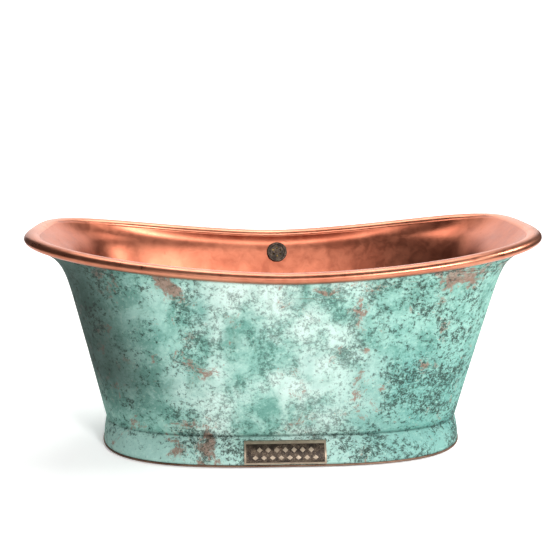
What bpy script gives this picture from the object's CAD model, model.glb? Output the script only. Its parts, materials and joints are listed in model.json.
import json
import math

import bpy
import numpy as np
from mathutils import Matrix, Vector


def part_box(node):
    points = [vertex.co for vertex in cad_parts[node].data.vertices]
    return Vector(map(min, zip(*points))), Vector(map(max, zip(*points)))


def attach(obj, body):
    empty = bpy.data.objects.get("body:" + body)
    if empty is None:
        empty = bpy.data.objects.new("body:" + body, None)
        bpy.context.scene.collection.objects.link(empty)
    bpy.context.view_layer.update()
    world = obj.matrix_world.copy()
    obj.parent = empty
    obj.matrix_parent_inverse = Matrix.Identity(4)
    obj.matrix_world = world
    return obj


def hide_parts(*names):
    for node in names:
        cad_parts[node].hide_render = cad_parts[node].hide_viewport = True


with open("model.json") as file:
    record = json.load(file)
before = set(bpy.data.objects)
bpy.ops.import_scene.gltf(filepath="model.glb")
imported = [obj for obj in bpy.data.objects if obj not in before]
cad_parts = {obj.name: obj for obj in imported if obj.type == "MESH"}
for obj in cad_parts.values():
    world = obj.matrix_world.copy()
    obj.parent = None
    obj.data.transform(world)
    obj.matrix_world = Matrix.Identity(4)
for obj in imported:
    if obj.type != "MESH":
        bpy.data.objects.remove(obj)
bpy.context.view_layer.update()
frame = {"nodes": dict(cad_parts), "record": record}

# Looks of the freestanding copper bath. Metres, in the same frame as the CAD model.

# Camera
CAMERA_PLACE = (-0.1793, -2.7559, 1.1514)
CAMERA_TURN = math.radians(3.5407)
CAMERA_DIP = math.radians(12.724)
CAMERA_ROLL = math.radians(0.6321)
CAMERA_LENS = 53.88

# Rolled rim
RIM_HALF_LENGTH = 0.802
RIM_HALF_WIDTH = 0.390
RIM_POWER = 3.34
RIM_MIDDLE_HEIGHT = 0.6195
RIM_END_HEIGHT = 0.7046
SHEER_POWER = 1.64
HEAD_WIDENING = 0.05
HEAD_LIFT = 0.0088
ROLL_HALF_WIDTH = 0.025
ROLL_HALF_HEIGHT = 0.0166
ROLL_UNEVENNESS = 0.02
FRONT_SEAM_TURN = -math.pi / 2
BACK_SEAM_TURN = math.pi / 2 + math.asin(0.065 / RIM_HALF_LENGTH)
SEAM_SLANT = -0.84
SEAM_SHARPNESS = 40

# Sheet metal. Outlines are (height, half length, half width).
SKIN_SHEET = 0.0018
SKIN_SLACK = 0.0002
BATH_SHEET = 0.002
SEAM_GAP = 0.0005
WAIST_POWER = 3.05
WAIST = (0.084, 0.5955, 0.274)
LAP_GAP = 0.0004
SKIN_FOOT = tuple(size + LAP_GAP for size in WAIST)
END_SLOPE_SHARE = 0.556
SKIN_END_FLARE = 18
SKIN_SIDE_FLARE = 0.96
SKIN_MEETS_ROLL = 0.001
SKIN_ROW_CROWDING = 0.8
FLOOR_POWER = 2.7
FLOOR_HEIGHT = 0.170
FLOOR_OUTLINES = (
    (FLOOR_HEIGHT, 0.390, 0.125),
    (FLOOR_HEIGHT, 0.432, 0.152),
    (0.177, 0.478, 0.185),
    (0.195, 0.520, 0.213),
    (0.228, 0.549, 0.237),
    (0.275, 0.571, 0.255),
)
WASTE_HOLE_RADIUS = 0.024
BATH_LEVELS = (0.14, 0.3, 0.46, 0.6, 0.72, 0.82, 0.89, 0.94)
BATH_END_FLARE = 12
BATH_SIDE_FLARE = 1.3
BATH_MEETS_ROLL = -0.016
BATH_SIDE_MEETING = math.radians(0)
BATH_END_MEETING = math.radians(58)
TUCK = 0.97  # share of the roll's size at which the bath's edge lies, so that the roll hides it
OVERFLOW_HOLE_RADIUS = 0.0205
PLINTH_OUTLINES = (
    (0.012, 0.6047, 0.335),
    (0.030, 0.6040, 0.3315),
    (0.050, 0.6018, 0.3195),
    (0.068, 0.5990, 0.2995),
    WAIST,
)
BEAD_RADIUS = 0.0038
BEAD_HEIGHT = 0.0076

# Raised work on the maker's plate
PLATE_BORDER = 0.006
LOZENGE_PITCH = 0.027
LOZENGE_HALF_LENGTH = 0.009
LOZENGE_HALF_HEIGHT = 0.0065
LOZENGES_IN_ROW = (8, 7)

# How finely the sheets are divided
SKIN_TURNS = 170
SKIN_ROWS = 72
BATH_TURNS = 260
BATH_ROWS = 100
PLINTH_TURNS = 240
PLINTH_ROWS = 14
RIM_STATIONS = 190
ROLL_SIDES = 40
SMALL_TURN = 0.004


# Terms and trees


class Term:
    """A number worked out by nodes. It adds, multiplies and so on like a plain number."""

    def __init__(self, tree, socket):
        self.tree = tree
        self.socket = socket

    def math(self, operation, *others):
        node = self.tree.nodes.new("ShaderNodeMath")
        node.operation = operation
        for socket, value in zip(node.inputs, (self, *others)):
            feed(self.tree, socket, value)
        return Term(self.tree, node.outputs[0])

    def __add__(self, other):
        return self.math("ADD", other)

    def __sub__(self, other):
        return self.math("SUBTRACT", other)

    def __rsub__(self, other):
        return self.math("MULTIPLY_ADD", -1, other)

    def __mul__(self, other):
        return self.math("MULTIPLY", other)

    def __truediv__(self, other):
        return self.math("DIVIDE", other)

    def __pow__(self, other):
        return self.math("POWER", other)

    def __abs__(self):
        return self.math("ABSOLUTE")

    __radd__ = __add__
    __rmul__ = __mul__


def cosine(value):
    return value.math("COSINE") if isinstance(value, Term) else np.cos(value)


def sine(value):
    return value.math("SINE") if isinstance(value, Term) else np.sin(value)


def feed(tree, socket, value):
    """Links a term or socket to an input, or sets the input to a plain value."""
    if isinstance(value, Term):
        tree.links.new(value.socket, socket)
    elif isinstance(value, bpy.types.NodeSocket):
        tree.links.new(value, socket)
    else:
        socket.default_value = value


def add(tree, kind, inputs=None, **settings):
    """Adds a node with its settings and its inputs, which are keyed by name or place."""
    node = tree.nodes.new(kind)
    for name, value in settings.items():
        setattr(node, name, value)
    for key, value in (inputs or {}).items():
        feed(tree, node.inputs[key], value)
    return node


def split(tree, vector):
    parts = add(tree, "ShaderNodeSeparateXYZ", {0: vector})
    return [Term(tree, socket) for socket in parts.outputs]


def joined(tree, *parts):
    return add(tree, "ShaderNodeCombineXYZ", dict(enumerate(parts))).outputs[0]


# The bath's rules of shape, for plain numbers, arrays and terms alike


def superellipse(turn, power):
    along, across = cosine(turn), sine(turn)
    stretch = (abs(along) ** power + abs(across) ** power) ** (-1 / power)
    return along * stretch, across * stretch


def outline_spot(outline, power, turn):
    height, half_length, half_width = outline
    along, across = superellipse(turn, power)
    return along * half_length, across * half_width, along * 0 + height


def rim_height(along):
    sheer = (RIM_END_HEIGHT - RIM_MIDDLE_HEIGHT) * abs(along) ** SHEER_POWER
    return sheer + HEAD_LIFT * along + RIM_MIDDLE_HEIGHT


def rim_spot(turn):
    """Spot on the rim's centre line, which rises towards the ends and is widest at the head."""
    along, across = superellipse(turn, RIM_POWER)
    y = across * RIM_HALF_WIDTH * (along * HEAD_WIDENING + 1)
    return along * RIM_HALF_LENGTH, y, rim_height(along)


def outward(turn):
    """Level direction square to the rim, away from the bath, as x and y."""
    ahead, behind = rim_spot(turn + SMALL_TURN), rim_spot(turn - SMALL_TURN)
    run_x, run_y = ahead[0] - behind[0], ahead[1] - behind[1]
    length = (run_x * run_x + run_y * run_y) ** 0.5
    return run_y / length, run_x / length * -1


def under_roll(turn, offset):
    """Spot just under the rolled rim, offset from its centre line, where a sheet meets it."""
    x, y, z = rim_spot(turn)
    out_x, out_y = outward(turn)
    depth = ROLL_HALF_HEIGHT * math.sqrt(1 - (offset / ROLL_HALF_WIDTH) ** 2) + SEAM_GAP
    return x + out_x * offset, y + out_y * offset, z - depth


def onto_roll(turns):
    """Where the bath runs smoothly onto the roll: on its flank, or nearer its top at the ends."""
    x, y, z = rim_spot(turns)
    out_x, out_y = outward(turns)
    meeting = BATH_SIDE_MEETING + (BATH_END_MEETING - BATH_SIDE_MEETING) * np.cos(turns) ** 4
    inward = np.cos(meeting) * ROLL_HALF_WIDTH * TUCK
    rise = np.sin(meeting) * ROLL_HALF_HEIGHT * TUCK
    return x - out_x * inward, y - out_y * inward, z + rise


def flare(level, turn, end_power, side_power):
    """Share of the way out from foot to rim: even at the sides, with a late flare at the ends."""
    endness = cosine(turn) * cosine(turn)
    at_end = level * END_SLOPE_SHARE + level**end_power * (1 - END_SLOPE_SHARE)
    return endness * at_end + (1 - endness) * level**side_power


def between(foot, top, level, share):
    x, y = [low + (high - low) * share for low, high in zip(foot[:2], top[:2])]
    return x, y, foot[2] + (top[2] - foot[2]) * level


def skin_spot(turn, level):
    foot = outline_spot(SKIN_FOOT, WAIST_POWER, turn)
    top = under_roll(turn, SKIN_MEETS_ROLL)
    return between(foot, top, level, flare(level, turn, SKIN_END_FLARE, SKIN_SIDE_FLARE))


# Geometry Nodes trees


SOCKET_KINDS = {int: "NodeSocketInt", float: "NodeSocketFloat"}


def new_tree(name, sizes):
    """A Geometry Nodes tree with named sizes. Returns the tree, its mesh input and its sizes."""
    tree = bpy.data.node_groups.new(name, "GeometryNodeTree")
    tree.interface.new_socket("Geometry", in_out="INPUT", socket_type="NodeSocketGeometry")
    tree.interface.new_socket("Geometry", in_out="OUTPUT", socket_type="NodeSocketGeometry")
    for label, value in sizes.items():
        kind = SOCKET_KINDS.get(type(value), "NodeSocketMaterial")
        socket = tree.interface.new_socket(label, in_out="INPUT", socket_type=kind)
        if value is not None:
            socket.default_value = value
    entry = tree.nodes.new("NodeGroupInput")
    terms = {label: Term(tree, entry.outputs[label]) for label in sizes}
    return tree, entry.outputs["Geometry"], terms


def close_tree(tree, geometry, material):
    """Ends a tree: smooth faces, real copies of any instances, and the finish."""
    smooth = add(tree, "GeometryNodeSetShadeSmooth", {"Geometry": geometry})
    real = add(tree, "GeometryNodeRealizeInstances", {"Geometry": smooth.outputs[0]})
    painted = add(
        tree, "GeometryNodeSetMaterial", {"Geometry": real.outputs[0], "Material": material}
    )
    exit_node = tree.nodes.new("NodeGroupOutput")
    tree.links.new(painted.outputs[0], exit_node.inputs[0])
    return tree


def shift_along_normal(tree, geometry, distance):
    normal = tree.nodes.new("GeometryNodeInputNormal").outputs[0]
    offset = add(tree, "ShaderNodeVectorMath", {0: normal, "Scale": distance}, operation="SCALE")
    moved = add(
        tree, "GeometryNodeSetPosition", {"Geometry": geometry, "Offset": offset.outputs[0]}
    )
    return moved.outputs[0]


def wave(tree, scale, detail=2.0, seed=0.0):
    """Soft unevenness from 0 to 1 over a surface. Seed picks another pattern of the same kind."""
    inputs = {"W": seed, "Scale": scale, "Detail": detail}
    node = add(tree, "ShaderNodeTexNoise", inputs, noise_dimensions="4D")
    return Term(tree, node.outputs[0])


def hammered(tree, geometry, sizes):
    """Pushes a sheet in by its hammer marks and by the slow waves of a hand-raised sheet."""
    marks = add(
        tree,
        "ShaderNodeTexVoronoi",
        {"W": sizes["Seed"], "Scale": sizes["Marks per metre"], "Smoothness": 0.9},
        feature="SMOOTH_F1",
        voronoi_dimensions="4D",
    )
    dent = Term(tree, marks.outputs["Distance"]) - 1
    sway = wave(tree, 7.0, seed=3.0) * -1
    depth = dent * sizes["Mark depth"] + sway * sizes["Sway"]
    return shift_along_normal(tree, geometry, depth * sizes["Side"])


def sheet_sizes():
    return {
        "Marks per metre": 32.0,
        "Mark depth": 0.0003,
        "Sway": 0.0006,
        "Side": 1.0,
        "Seed": 1.0,
        "Finish": None,
    }


def skin_tree():
    """Half of the outer skin, as a grid whose rows rise from the waist to the rim."""
    sizes = {"Turns": SKIN_TURNS, "Rows": SKIN_ROWS, "Start": 0.0} | sheet_sizes()
    tree, _, sizes = new_tree("outer skin", sizes)
    counts = {"Vertices X": sizes["Turns"], "Vertices Y": sizes["Rows"]}
    grid = add(tree, "GeometryNodeMeshGrid", counts)
    x, y, _ = split(tree, tree.nodes.new("GeometryNodeInputPosition").outputs[0])
    turn = sizes["Start"] + (x + 0.5) * math.pi
    row = y + 0.5
    level = row * ((1 + SKIN_ROW_CROWDING) - row * SKIN_ROW_CROWDING)
    place = joined(tree, *skin_spot(turn, level))
    bent = add(tree, "GeometryNodeSetPosition", {"Geometry": grid.outputs[0], "Position": place})
    sheet = hammered(tree, bent.outputs[0], sizes)
    return close_tree(tree, sheet, sizes["Finish"])


def beaten_tree():
    """Hammers any sheet that has already been bent to shape."""
    tree, sheet, sizes = new_tree("beaten sheet", sheet_sizes())
    return close_tree(tree, hammered(tree, sheet, sizes), sizes["Finish"])


def tube_tree(name, path, sizes):
    """An oval tube along a path, given as a function of the turn from start to end."""
    sizes = {
        "Stations": RIM_STATIONS,
        "Sides": ROLL_SIDES,
        "Start": 0.0,
        "End": math.pi,
        "Half width": 0.01,
        "Half height": 0.01,
        "Unevenness": 0.0,
        "Slant": 0.0,
        "Finish": None,
    } | sizes
    tree, _, sizes = new_tree(name, sizes)
    line = add(tree, "GeometryNodeCurvePrimitiveLine")
    stations = add(
        tree,
        "GeometryNodeResampleCurve",
        {"Curve": line.outputs[0], "Count": sizes["Stations"]},
    )
    parameter = Term(tree, tree.nodes.new("GeometryNodeSplineParameter").outputs["Factor"])
    place = path(sizes["Start"] + (sizes["End"] - sizes["Start"]) * parameter)
    bent = add(
        tree,
        "GeometryNodeSetPosition",
        {"Geometry": stations.outputs[0], "Position": joined(tree, *place)},
    )
    upright = add(
        tree, "GeometryNodeSetCurveNormal", {"Curve": bent.outputs[0]}, mode="Z_UP"
    )
    kept = upright.outputs[0]
    for label, value in (("path height", place[2]), ("path share", parameter)):
        inputs = {"Geometry": kept, "Name": label, "Value": value}
        kept = add(
            tree, "GeometryNodeStoreNamedAttribute", inputs, data_type="FLOAT", domain="POINT"
        ).outputs[0]
    ring = add(
        tree, "GeometryNodeCurvePrimitiveCircle", {"Resolution": sizes["Sides"], "Radius": 1.0}
    )
    oval = add(
        tree,
        "GeometryNodeTransform",
        {
            "Geometry": ring.outputs[0],
            "Scale": joined(tree, sizes["Half width"], sizes["Half height"], 1.0),
        },
    )
    size = 1 - wave(tree, 9.0, seed=5.0) * sizes["Unevenness"]
    tube = add(
        tree,
        "GeometryNodeCurveToMesh",
        {
            "Curve": kept,
            "Profile Curve": oval.outputs[0],
            "Scale": size,
            "Fill Caps": True,
        },
    )
    height, share = [
        Term(tree, add(tree, "GeometryNodeInputNamedAttribute", {"Name": label}).outputs[0])
        for label in ("path height", "path share")
    ]
    z = split(tree, tree.nodes.new("GeometryNodeInputPosition").outputs[0])[2]
    near_end = share**SEAM_SHARPNESS + (1 - share) ** SEAM_SHARPNESS
    lean = joined(tree, (z - height) * near_end * sizes["Slant"], 0.0, 0.0)
    leaning = add(tree, "GeometryNodeSetPosition", {"Geometry": tube.outputs[0], "Offset": lean})
    return close_tree(tree, leaning.outputs[0], sizes["Finish"])


# Making pieces


def dressed(piece, tree, **sizes):
    """Adds a Geometry Nodes tree to a piece, with its own sizes."""
    modifier = piece.modifiers.new(tree.name, "NODES")
    modifier.node_group = tree
    for item in tree.interface.items_tree:
        label = item.name.replace(" ", "_").lower()
        if item.in_out == "INPUT" and label in sizes:
            modifier[item.identifier] = sizes[label]
    return piece


def blank(name, mesh=None):
    piece = bpy.data.objects.new(name, mesh or bpy.data.meshes.new(name))
    bpy.context.scene.collection.objects.link(piece)
    return piece


def thickened(piece, thickness, side):
    """Gives a sheet its thickness. Side is 1 on the side its faces look to, and -1 behind them."""
    solid = piece.modifiers.new("thickness", "SOLIDIFY")
    solid.thickness = thickness
    solid.offset = side
    return piece


def finished(piece, *nodes, slot):
    """Bakes a piece's modifiers to a plain mesh that stands for its CAD nodes."""
    bpy.context.view_layer.update()
    graph = bpy.context.evaluated_depsgraph_get()
    mesh = bpy.data.meshes.new_from_object(piece.evaluated_get(graph), depsgraph=graph)
    piece.modifiers.clear()
    piece.data = mesh
    mesh.name = piece.name
    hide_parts(*nodes)
    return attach(piece, "tub")


def smooth_rows(points, count):
    """Evenly spaced rows of the natural cubic spline through rows of points."""
    steps = np.linalg.norm(np.diff(points, axis=0), axis=2).mean(axis=1)
    knots = np.concatenate([[0], np.cumsum(steps)])
    gaps = steps.reshape(-1, 1, 1)
    size = len(knots)
    slopes = np.diff(points, axis=0) / gaps
    system = np.eye(size)
    pull = np.zeros_like(points)
    for row in range(1, size - 1):
        before, after = steps[row - 1], steps[row]
        system[row, row - 1 : row + 2] = before, 2 * (before + after), after
        pull[row] = 6 * (slopes[row] - slopes[row - 1])
    bend = np.linalg.solve(system, pull.reshape(size, -1)).reshape(points.shape)
    spots = np.linspace(0, knots[-1], count)
    span = np.clip(np.searchsorted(knots, spots, side="right") - 1, 0, size - 2)
    past = (spots - knots[span]).reshape(-1, 1, 1)
    gap = gaps[span]
    slope = slopes[span] - gap * (2 * bend[span] + bend[span + 1]) / 6
    cubic = (bend[span + 1] - bend[span]) / (6 * gap)
    return points[span] + past * (slope + past * (bend[span] / 2 + past * cubic))


def sheet_mesh(name, rows, faces_out, loop=True):
    """Mesh of quads over rows of points that run round the bath."""
    count, around = rows.shape[:2]
    mesh = bpy.data.meshes.new(name)
    quads = []
    for row in range(count - 1):
        for step in range(around if loop else around - 1):
            here, there = row * around + step, row * around + (step + 1) % around
            quad = (here, there, there + around, here + around)
            quads.append(quad if faces_out else quad[::-1])
    mesh.from_pydata(rows.reshape(-1, 3).tolist(), [], quads)
    mesh.update()
    return mesh


def bath_rows():
    """Inner face of the bath from the waste hole, across the floor and up to the rim."""
    turns = np.linspace(0, math.tau, BATH_TURNS, endpoint=False)
    flat = np.ones(BATH_TURNS) * FLOOR_HEIGHT
    hole = (np.cos(turns) * WASTE_HOLE_RADIUS, np.sin(turns) * WASTE_HOLE_RADIUS, flat)
    floor = [outline_spot(outline, FLOOR_POWER, turns) for outline in FLOOR_OUTLINES]
    middle = [(near + far) / 2 for near, far in zip(hole, floor[0])]
    top = under_roll(turns, BATH_MEETS_ROLL)
    wall = []
    for level in BATH_LEVELS:
        share = flare(level, turns, BATH_END_FLARE, BATH_SIDE_FLARE)
        wall.append(between(floor[-1], top, level, share))
    lines = [hole, middle, *floor, *wall, onto_roll(turns)]
    points = np.array([np.stack(line, axis=-1) for line in lines])
    return smooth_rows(points, BATH_ROWS)


def plinth_rows(start):
    """Outer face of half the plinth from its foot up to the waist."""
    turns = np.linspace(start, start + math.pi, PLINTH_TURNS // 2)
    lines = [outline_spot(outline, WAIST_POWER, turns) for outline in PLINTH_OUTLINES]
    points = np.array([np.stack(line, axis=-1) for line in lines])
    return smooth_rows(points, PLINTH_ROWS)


def cut_overflow_hole(mesh, centre):
    """Takes the faces behind the overflow grille out of the bath's back wall."""
    quads = []
    for polygon in mesh.polygons:
        if (polygon.center - centre).length > OVERFLOW_HOLE_RADIUS:
            quads.append(tuple(polygon.vertices))
    points = [vertex.co[:] for vertex in mesh.vertices]
    mesh.clear_geometry()
    mesh.from_pydata(points, [], quads)
    mesh.update()


# Finishes


def tone(red, green, blue):
    """Linear colour of a display colour given from 0 to 255."""
    shares = [part / 255 for part in (red, green, blue)]
    linear = [s / 12.92 if s <= 0.04045 else ((s + 0.055) / 1.055) ** 2.4 for s in shares]
    return (*linear, 1)


def new_finish(name):
    """A material with its shader and its Object coordinates."""
    material = bpy.data.materials.new(name)
    material.use_nodes = True
    tree = material.node_tree
    shader = tree.nodes["Principled BSDF"] if "Principled BSDF" in tree.nodes else None
    if shader is None:
        shader = tree.nodes.new("ShaderNodeBsdfPrincipled")
        output = tree.nodes.new("ShaderNodeOutputMaterial")
        tree.links.new(shader.outputs[0], output.inputs[0])
    spots = tree.nodes.new("ShaderNodeTexCoord").outputs["Object"]
    return material, tree, shader, spots


def stretched(tree, spots, x=1.0, y=1.0, z=1.0, shift=0.0):
    inputs = {"Vector": spots, "Location": (shift, shift, shift), "Scale": (x, y, z)}
    return add(tree, "ShaderNodeMapping", inputs).outputs[0]


def cloud(tree, spots, scale, detail=4.0, roughness=0.5, distortion=0.0):
    inputs = {
        "Vector": spots,
        "Scale": scale,
        "Detail": detail,
        "Roughness": roughness,
        "Distortion": distortion,
    }
    return Term(tree, add(tree, "ShaderNodeTexNoise", inputs).outputs[0])


def fade(tree, value, low, high):
    """0 below low and 1 above high, with a soft step between, whichever of them is larger."""
    inputs = {"Value": value, "From Min": low, "From Max": high}
    node = add(tree, "ShaderNodeMapRange", inputs, interpolation_type="SMOOTHSTEP", clamp=True)
    return Term(tree, node.outputs[0])


def scaled(tree, value, low, high, to_low, to_high):
    """Moves a value from the range low to high into the range to_low to to_high."""
    inputs = {
        "Value": value,
        "From Min": low,
        "From Max": high,
        "To Min": to_low,
        "To Max": to_high,
    }
    return Term(tree, add(tree, "ShaderNodeMapRange", inputs, clamp=True).outputs[0])


def over(tree, below, above, share):
    """Lays one colour over another by a share."""
    node = tree.nodes.new("ShaderNodeMix")
    node.data_type = "RGBA"
    feed(tree, node.inputs[0], share)
    feed(tree, node.inputs[6], below)
    feed(tree, node.inputs[7], above)
    return node.outputs[2]


def bumped(tree, height, strength, distance, below=None):
    inputs = {"Height": height, "Strength": strength, "Distance": distance}
    if below is not None:
        inputs["Normal"] = below
    return add(tree, "ShaderNodeBump", inputs).outputs[0]


def verdigris_finish():
    """Aged copper: blue-green crust, pale bloom, dark pits, bare brown patches and faint runs."""
    material, tree, shader, spots = new_finish("verdigris crust")
    x, y, z = split(tree, spots)
    depth = rim_height(x * (1 / RIM_HALF_LENGTH)) - z
    broad = cloud(tree, spots, 3.1, 3.0, 0.55)
    middling = cloud(tree, spots, 13.0, 6.0, 0.62, 0.4)
    fine = cloud(tree, spots, 75.0, 7.0, 0.72, 0.3)
    grit = cloud(tree, spots, 190.0, 5.0, 0.7)
    runs = cloud(tree, stretched(tree, spots, 34.0, 34.0, 2.4), 1.0, 5.0, 0.6)

    teal, aqua, bloom = tone(100, 150, 138), tone(146, 192, 180), tone(206, 226, 218)
    colour = over(tree, teal, aqua, fade(tree, middling + fine * 0.6, 0.62, 0.98))
    pale = fade(tree, broad + middling * 0.5, 0.62, 0.92) * fade(tree, abs(x + 0.05), 0.52, 0.08)
    colour = over(tree, colour, bloom, pale * 0.85)
    colour = over(tree, colour, tone(172, 206, 198), fade(tree, z, 0.095, 0.075) * 0.55)
    lower_right = fade(tree, x, 0.05, 0.42) * fade(tree, z, 0.5, 0.22)
    rich = lower_right * 0.55 + fade(tree, cloud(tree, spots, 4.6, 4.0, 0.6), 0.55, 0.72) * 0.35
    colour = over(tree, colour, tone(92, 154, 146), rich)
    colour = over(tree, colour, tone(182, 206, 194), fade(tree, fine + grit, 1.08, 1.3) * 0.7)

    run_share = fade(tree, runs, 0.56, 0.74) * fade(tree, z, 0.1, 0.3)
    colour = over(tree, colour, tone(96, 122, 108), run_share * 0.35)

    wear = cloud(tree, stretched(tree, spots, shift=4.0), 7.5, 9.0, 0.74, 0.5)
    under_rim = fade(tree, depth, 0.14, 0.03) * 0.06
    bare = fade(tree, wear + under_rim + fine * 0.3, 0.73, 0.8)
    brown = over(tree, tone(112, 72, 54), tone(142, 104, 88), fade(tree, fine, 0.4, 0.6))
    colour = over(tree, colour, brown, bare * 0.85)

    streak = cloud(tree, stretched(tree, spots, 5.0, 5.0, 90.0), 1.0, 4.0, 0.6)
    streaks = fade(tree, streak, 0.58, 0.68) * fade(tree, depth, 0.11, 0.04)
    colour = over(tree, colour, tone(120, 78, 60), streaks * fade(tree, x, -0.1, 0.15) * 0.75)

    crowd = cloud(tree, stretched(tree, spots, shift=9.0), 9.0, 5.0, 0.65)
    crowd = crowd + fade(tree, x, 0.0, -0.6) * 0.06
    calm = 1 - fade(tree, abs(x + 0.03), 0.4, 0.12) * fade(tree, z, 0.06, 0.14) * 0.45
    pits = fade(tree, fine + crowd * 0.6, 0.8, 0.7) * fade(tree, grit, 0.66, 0.5) * calm
    colour = over(tree, colour, tone(36, 46, 40), pits * 0.85)
    specks = fade(tree, grit + crowd * 0.35, 0.6, 0.53)
    colour = over(tree, colour, tone(58, 66, 58), specks * calm * 0.8)
    dusk = fade(tree, x + z * 0.3, -0.2, -0.46) * fade(tree, y, 0.05, -0.05)
    colour = over(tree, colour, tone(34, 42, 37), dusk * fade(tree, z, 0.05, 0.3) * 0.84)
    feed(tree, shader.inputs["Base Color"], colour)
    feed(tree, shader.inputs["Roughness"], scaled(tree, bare + fine * 0.4, 0, 1.2, 0.86, 0.5))
    shader.inputs["Specular IOR Level"].default_value = 0.3
    crust = bumped(tree, fine * 0.6 + grit * 0.4 - pits * 0.35 - bare * 0.2, 0.55, 0.0016)
    feed(tree, shader.inputs["Normal"], crust)
    return material


def copper_finish(name, light, deep, stain, shine):
    """Burnished copper with soft mottling, brown stains and fine rubbing marks."""
    material, tree, shader, spots = new_finish(name)
    broad = cloud(tree, spots, 4.5, 4.0, 0.55)
    mottle = cloud(tree, spots, 26.0, 6.0, 0.6, 0.6)
    fine = cloud(tree, spots, 240.0, 3.0, 0.6)
    rubbed = cloud(tree, stretched(tree, spots, 12.0, 12.0, 260.0), 1.0, 3.0, 0.6)
    colour = over(tree, deep, light, fade(tree, broad + mottle * 0.5, 0.55, 0.95))
    colour = over(tree, colour, stain, fade(tree, mottle, 0.57, 0.75) * 0.35)
    feed(tree, shader.inputs["Base Color"], colour)
    rough = mottle * 0.6 + fine * 0.4
    feed(tree, shader.inputs["Roughness"], scaled(tree, rough, 0.35, 0.65, shine, shine + 0.14))
    shader.inputs["Metallic"].default_value = 1.0
    grain = bumped(tree, rubbed * 0.5 + fine * 0.5, 0.06, 0.0004)
    feed(tree, shader.inputs["Normal"], bumped(tree, mottle, 0.12, 0.002, grain))
    return material


def raised_work(tree, spots):
    """1 on the raised border and the two rows of lozenges of the maker's plate, 0 elsewhere."""
    low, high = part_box("nameplate")
    x, _, z = split(tree, spots)
    along = x - (low[0] + high[0]) / 2
    up = z - low[2]
    tall = high[2] - low[2]
    side_edge = abs(along) * -1 + (high[0] - low[0]) / 2
    edge = side_edge.math("MINIMUM", abs(up - tall / 2) * -1 + tall / 2)
    work = fade(tree, edge, PLATE_BORDER + 0.0004, PLATE_BORDER - 0.0004)
    for row, count in enumerate(LOZENGES_IN_ROW):
        run = LOZENGE_PITCH * count / 2
        across = (along + run + LOZENGE_PITCH / 2) / LOZENGE_PITCH
        across = across.math("PINGPONG", 0.5) * LOZENGE_PITCH
        above = abs(up - tall * (1 + row) / 3)
        reach = across / LOZENGE_HALF_LENGTH + above / LOZENGE_HALF_HEIGHT
        work = work + fade(tree, reach, 1.05, 0.95) * fade(tree, abs(along), run, run - 0.001)
    return work * fade(tree, z, high[2] + 0.01, high[2])


def bronze_finish():
    """Dark aged bronze, rubbed lighter in places, with fine casting grain."""
    material, tree, shader, spots = new_finish("aged bronze")
    patches = cloud(tree, spots, 55.0, 6.0, 0.65)
    grain = cloud(tree, spots, 420.0, 4.0, 0.6)
    worn = fade(tree, patches + grain * 0.4, 0.6, 0.85)
    colour = over(tree, tone(46, 37, 31), tone(88, 74, 62), worn)
    rubbed = raised_work(tree, spots) * scaled(tree, patches, 0.35, 0.65, 0.9, 0.5)
    colour = over(tree, colour, tone(176, 158, 138), rubbed)
    flecks = fade(tree, grain + patches * 0.3, 0.72, 0.86) * 0.6
    colour = over(tree, colour, tone(170, 148, 126), flecks)
    feed(tree, shader.inputs["Base Color"], colour)
    shader.inputs["Metallic"].default_value = 0.7
    feed(tree, shader.inputs["Roughness"], scaled(tree, patches, 0.35, 0.7, 0.38, 0.6))
    feed(tree, shader.inputs["Normal"], bumped(tree, grain * 0.6 + patches, 0.35, 0.0008))
    return material


def plain_metal(name, light, dark, metallic, roughness, scale):
    """Drawn or plated metal with faint dulling and grain."""
    material, tree, shader, spots = new_finish(name)
    patches = cloud(tree, spots, scale, 5.0, 0.6)
    grain = cloud(tree, spots, scale * 12, 3.0, 0.6)
    colour = over(tree, light, dark, fade(tree, patches, 0.42, 0.66))
    feed(tree, shader.inputs["Base Color"], colour)
    shader.inputs["Metallic"].default_value = metallic
    rough = scaled(tree, patches + grain * 0.3, 0.4, 0.9, roughness, roughness + 0.16)
    feed(tree, shader.inputs["Roughness"], rough)
    feed(tree, shader.inputs["Normal"], bumped(tree, grain, 0.15, 0.0004))
    return material


def plywood_finish():
    material, tree, shader, spots = new_finish("birch plywood")
    z = split(tree, spots)[2]
    grain = cloud(tree, stretched(tree, spots, 3.0, 42.0, 42.0), 1.0, 6.0, 0.6, 1.2)
    plies = (z * (math.tau / 0.0028)).math("SINE")
    colour = over(tree, tone(205, 176, 132), tone(168, 134, 92), fade(tree, grain, 0.4, 0.65))
    colour = over(tree, colour, tone(128, 96, 62), fade(tree, plies, 0.55, 0.95) * 0.35)
    feed(tree, shader.inputs["Base Color"], colour)
    feed(tree, shader.inputs["Roughness"], scaled(tree, grain, 0.3, 0.7, 0.55, 0.75))
    feed(tree, shader.inputs["Normal"], bumped(tree, grain, 0.2, 0.0006))
    return material


def soft_finish(name, dark, light, scale, roughness, depth):
    """Matt felt, rubber or powder coat: fine grain over a slow change of tone."""
    material, tree, shader, spots = new_finish(name)
    slow = cloud(tree, spots, scale * 0.04, 4.0, 0.6)
    grain = cloud(tree, spots, scale, 6.0, 0.75)
    colour = over(tree, dark, light, fade(tree, slow * 0.5 + grain, 0.5, 1.0))
    feed(tree, shader.inputs["Base Color"], colour)
    rough = scaled(tree, grain, 0.3, 0.7, roughness, roughness + 0.15)
    feed(tree, shader.inputs["Roughness"], rough)
    feed(tree, shader.inputs["Normal"], bumped(tree, grain, 0.4, depth))
    return material


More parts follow.
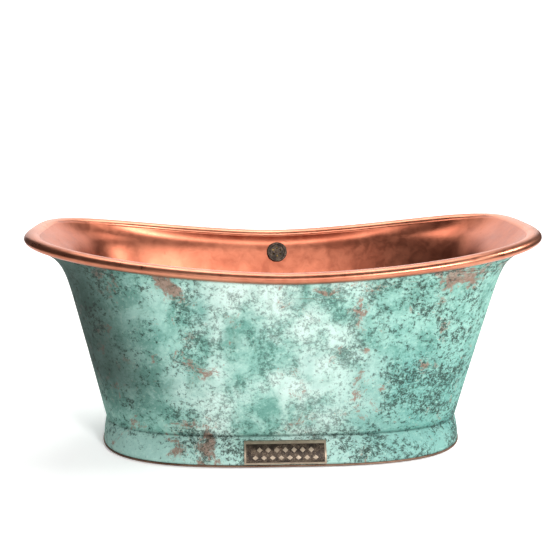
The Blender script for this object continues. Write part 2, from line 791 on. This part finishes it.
def floor_finish():
    material, tree, shader, spots = new_finish("pale studio floor")
    slow = cloud(tree, spots, 0.8, 3.0, 0.5)
    colour = over(tree, tone(247, 247, 246), tone(252, 252, 251), slow)
    feed(tree, shader.inputs["Base Color"], colour)
    shader.inputs["Roughness"].default_value = 0.9
    shader.inputs["Emission Color"].default_value = tone(255, 255, 255)
    shader.inputs["Emission Strength"].default_value = 0.35
    return material


finishes = {
    "verdigris_copper": verdigris_finish(),
    "inner_copper": copper_finish(
        "burnished copper bath", tone(186, 112, 86), tone(152, 84, 63), tone(104, 58, 44), 0.3
    ),
    "rim_copper": copper_finish(
        "burnished copper roll", tone(205, 136, 108), tone(176, 106, 82), tone(130, 76, 60), 0.26
    ),
    "wired_edge": copper_finish(
        "dull wired edge", tone(150, 122, 106), tone(104, 78, 66), tone(84, 96, 86), 0.5
    ),
    "aged_bronze": bronze_finish(),
    "polished_copper": copper_finish(
        "polished copper plating",
        tone(236, 170, 138),
        tone(216, 142, 112),
        tone(176, 110, 84),
        0.14,
    ),
    "plain_brass": plain_metal(
        "drawn brass", tone(206, 174, 104), tone(168, 132, 74), 1.0, 0.3, 22
    ),
    "zinc_steel": plain_metal(
        "zinc plating", tone(190, 192, 192), tone(150, 152, 150), 1.0, 0.3, 40
    ),
    "painted_frame": soft_finish(
        "black powder coat", tone(30, 30, 32), tone(52, 52, 54), 700.0, 0.42, 0.0003
    ),
    "birch_board": plywood_finish(),
    "grey_felt": soft_finish(
        "dense grey felt", tone(74, 74, 76), tone(120, 120, 122), 900.0, 0.85, 0.0006
    ),
    "black_rubber": soft_finish(
        "black rubber", tone(20, 20, 21), tone(38, 38, 39), 500.0, 0.6, 0.0002
    ),
}


# CAD nodes that keep their own shape


for part in frame["record"]["subparts"]:
    mesh = frame["nodes"][part["node"]].data
    mesh.materials.clear()
    mesh.materials.append(finishes[part["material_slot"]])


# Sheets of the tub


overflow_low, overflow_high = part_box("overflow_grille")
skin = skin_tree()
beaten = beaten_tree()
for side, start in (("back", 0.0), ("front", math.pi)):
    half = dressed(
        blank(f"skin_{side}"),
        skin,
        start=start,
        seed=2.0 + start,
        finish=finishes["verdigris_copper"],
    )
    thickened(half, SKIN_SHEET - SKIN_SLACK, 1)
    finished(half, f"outer_skin_{side}", slot="verdigris_copper")

    foot_mesh = sheet_mesh(f"foot_band_{side}", plinth_rows(start), True, loop=False)
    foot = blank(f"foot_band_{side}", foot_mesh)
    dressed(foot, beaten, seed=7.0, sway=0.0004, finish=finishes["verdigris_copper"])
    thickened(foot, SKIN_SHEET, -1)
    finished(foot, f"plinth_{side}", slot="verdigris_copper")

bath_mesh = sheet_mesh("bath", bath_rows(), False)
cut_overflow_hole(bath_mesh, (overflow_low + overflow_high) / 2)
bath = blank("bath", bath_mesh)
dressed(
    bath,
    beaten,
    marks_per_metre=26.0,
    mark_depth=0.00035,
    sway=0.0005,
    side=-1.0,
    finish=finishes["inner_copper"],
)
thickened(bath, BATH_SHEET, -1)
finished(bath, "inner_bath", slot="inner_copper")


# Rolled rim and wired edge


roll_sizes = {"Half width": ROLL_HALF_WIDTH, "Half height": ROLL_HALF_HEIGHT}
roll = tube_tree("rolled rim", rim_spot, roll_sizes)
rim_turns = {
    "right": (FRONT_SEAM_TURN, BACK_SEAM_TURN),
    "left": (BACK_SEAM_TURN, FRONT_SEAM_TURN + math.tau),
}
for side, (start, end) in rim_turns.items():
    half = dressed(
        blank(f"roll_{side}"),
        roll,
        start=start,
        end=end,
        unevenness=ROLL_UNEVENNESS,
        slant=SEAM_SLANT,
        finish=finishes["rim_copper"],
    )
    finished(half, f"rim_roll_{side}", slot="rim_copper")


def bead_spot(turn):
    _, half_length, half_width = PLINTH_OUTLINES[0]
    foot = (BEAD_HEIGHT, half_length - SKIN_SHEET / 2, half_width - SKIN_SHEET / 2)
    return outline_spot(foot, WAIST_POWER, turn)


bead_sizes = {"Half width": BEAD_RADIUS, "Half height": BEAD_RADIUS}
bead = tube_tree("wired edge", bead_spot, bead_sizes)
for side, start in (("back", 0.0), ("front", math.pi)):
    wire = dressed(
        blank(f"wire_{side}"),
        bead,
        sides=14,
        start=start,
        end=start + math.pi,
        finish=finishes["wired_edge"],
    )
    finished(wire, f"plinth_bead_{side}", slot="wired_edge")


# Stage, camera and lights


def stage_mesh():
    """Wide floor that curves up into a narrower back wall."""
    half, floor_half, front, back, radius, top = 2.7, 9.0, -9.0, 3.2, 1.2, 3.4
    profile = [(front, 0.0), (back - radius, 0.0)]
    for step in range(1, 13):
        turn = math.pi / 2 * step / 12
        profile.append((back - radius + radius * math.sin(turn), radius - radius * math.cos(turn)))
    profile.append((back, top))
    widths = [floor_half if y < back - radius else half for y, _ in profile]
    points = [(x, y, z) for (y, z), width in zip(profile, widths) for x in (-width, width)]
    quads = [(2 * i, 2 * i + 1, 2 * i + 3, 2 * i + 2) for i in range(len(profile) - 1)]
    mesh = bpy.data.meshes.new("studio")
    mesh.from_pydata(points, [], quads)
    mesh.materials.append(floor_finish())
    for polygon in mesh.polygons:
        polygon.use_smooth = True
    return mesh


blank("studio", stage_mesh())


def make_camera():
    """Camera from its place, turn, dip and roll."""
    ahead = Vector(
        (
            math.sin(CAMERA_TURN) * math.cos(CAMERA_DIP),
            math.cos(CAMERA_TURN) * math.cos(CAMERA_DIP),
            -math.sin(CAMERA_DIP),
        )
    )
    right = Vector((math.cos(CAMERA_TURN), -math.sin(CAMERA_TURN), 0))
    up = right.cross(ahead)
    leaning_right = right * math.cos(CAMERA_ROLL) + up * math.sin(CAMERA_ROLL)
    leaning_up = up * math.cos(CAMERA_ROLL) - right * math.sin(CAMERA_ROLL)
    data = bpy.data.cameras.new("camera")
    data.lens = CAMERA_LENS
    data.sensor_width = 36.0
    camera = bpy.data.objects.new("camera", data)
    axes = Matrix((leaning_right, leaning_up, -ahead)).transposed()
    camera.matrix_world = Matrix.Translation(CAMERA_PLACE) @ axes.to_4x4()
    bpy.context.scene.collection.objects.link(camera)
    bpy.context.scene.camera = camera


def soft_light(name, place, aim, size, power):
    """Square white light at a place, turned towards the spot it aims at."""
    data = bpy.data.lights.new(name, "AREA")
    data.size = size
    data.energy = power
    light = bpy.data.objects.new(name, data)
    light.location = place
    light.rotation_euler = (Vector(aim) - Vector(place)).to_track_quat("-Z", "Y").to_euler()
    bpy.context.scene.collection.objects.link(light)


make_camera()
soft_light("key", (1.5, -3.3, 2.3), (-0.1, 0, 0.3), 1.0, 118)
soft_light("window", (2.3, -0.6, 2.5), (-0.63, 0, 0.6), 0.5, 44)
soft_light("fill", (0.2, -4.6, 1.6), (0, 0, 0.4), 1.6, 30)
soft_light("back wall", (0.0, 1.8, 4.4), (0, 3.2, 1.0), 3.0, 160)
world = bpy.data.worlds.new("studio air")
world.use_nodes = True
world.node_tree.nodes["Background"].inputs["Color"].default_value = (1, 1, 1, 1)
world.node_tree.nodes["Background"].inputs["Strength"].default_value = 0.1
bpy.context.scene.world = world
bpy.context.scene.view_settings.view_transform = "Standard"
